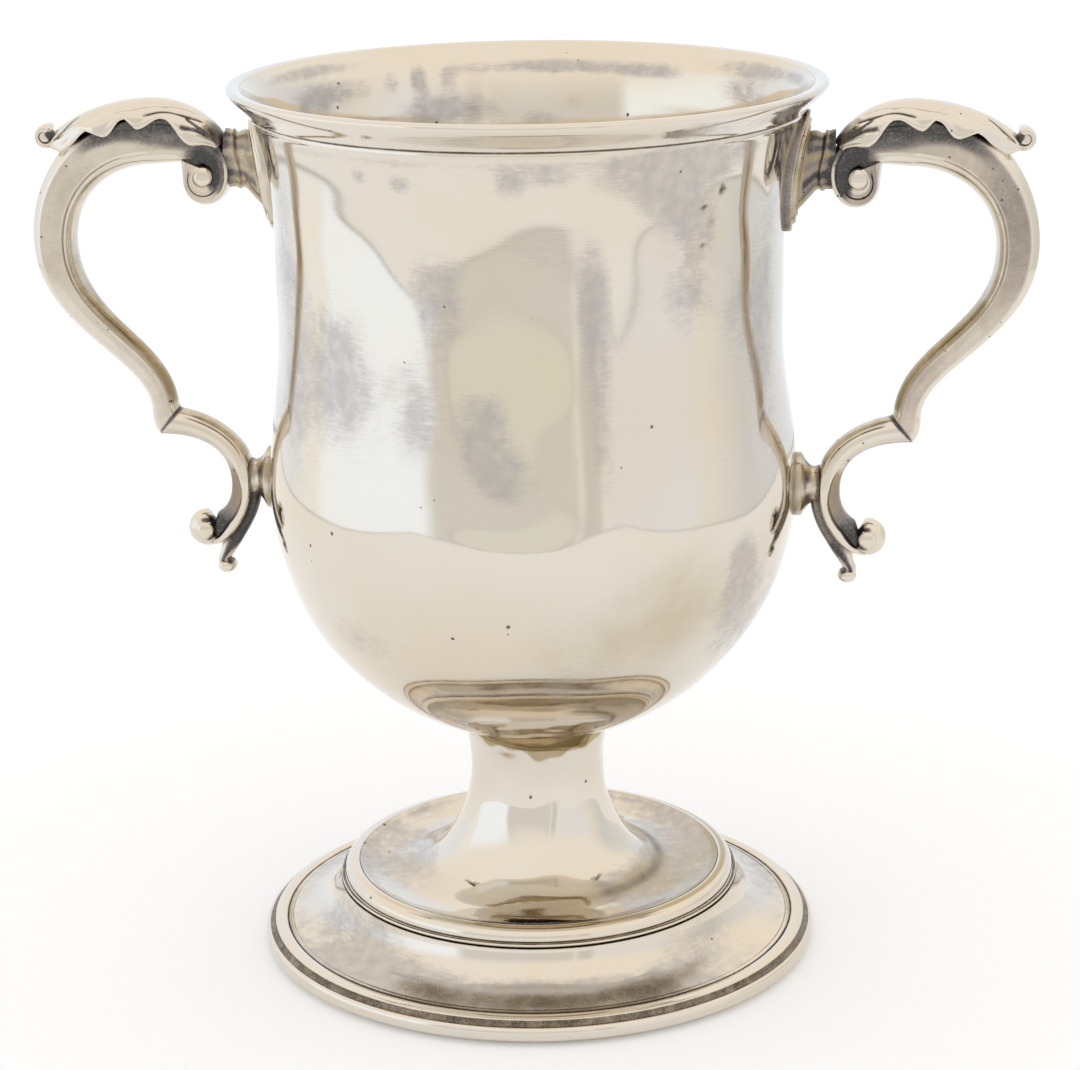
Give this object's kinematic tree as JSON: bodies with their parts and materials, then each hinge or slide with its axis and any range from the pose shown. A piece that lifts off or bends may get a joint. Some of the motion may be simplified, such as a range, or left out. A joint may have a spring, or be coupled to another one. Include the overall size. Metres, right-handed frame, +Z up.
{
  "type": "two-handled cup",
  "caption": "Silver two-handled loving cup: bell-shaped bowl with everted lip, trumpet stem, stepped foot and leaf-capped double-scroll handles.",
  "frame": {"origin": "on the table, under the middle of the foot", "axes": "+Z up the axis of the cup, +X towards the right handle, so that the handles lie in the XZ plane"},
  "size_m": [0.1782, 0.1048, 0.16],
  "materials": {
    "raised_silver": "hand-polished old silver with faint tarnish patches",
    "cast_silver": "worn cast silver, bright on its edges and dark in its hollows"
  },
  "bodies": {
    "root": {"bowl": "raised_silver", "lip_moulding": "raised_silver", "stem": "raised_silver", "foot_step": "raised_silver", "foot_skirt": "raised_silver", "foot_rim": "raised_silver", "right_upper_socket": "cast_silver", "right_scroll_front": "cast_silver", "right_scroll_back": "cast_silver", "right_leaf_cap": "cast_silver", "right_lower_scroll": "cast_silver", "right_tail_leaf": "cast_silver", "right_lower_socket": "cast_silver", "left_upper_socket": "cast_silver", "left_scroll_front": "cast_silver", "left_scroll_back": "cast_silver", "left_leaf_cap": "cast_silver", "left_lower_scroll": "cast_silver", "left_tail_leaf": "cast_silver", "left_lower_socket": "cast_silver"}
  },
  "joints": []
}
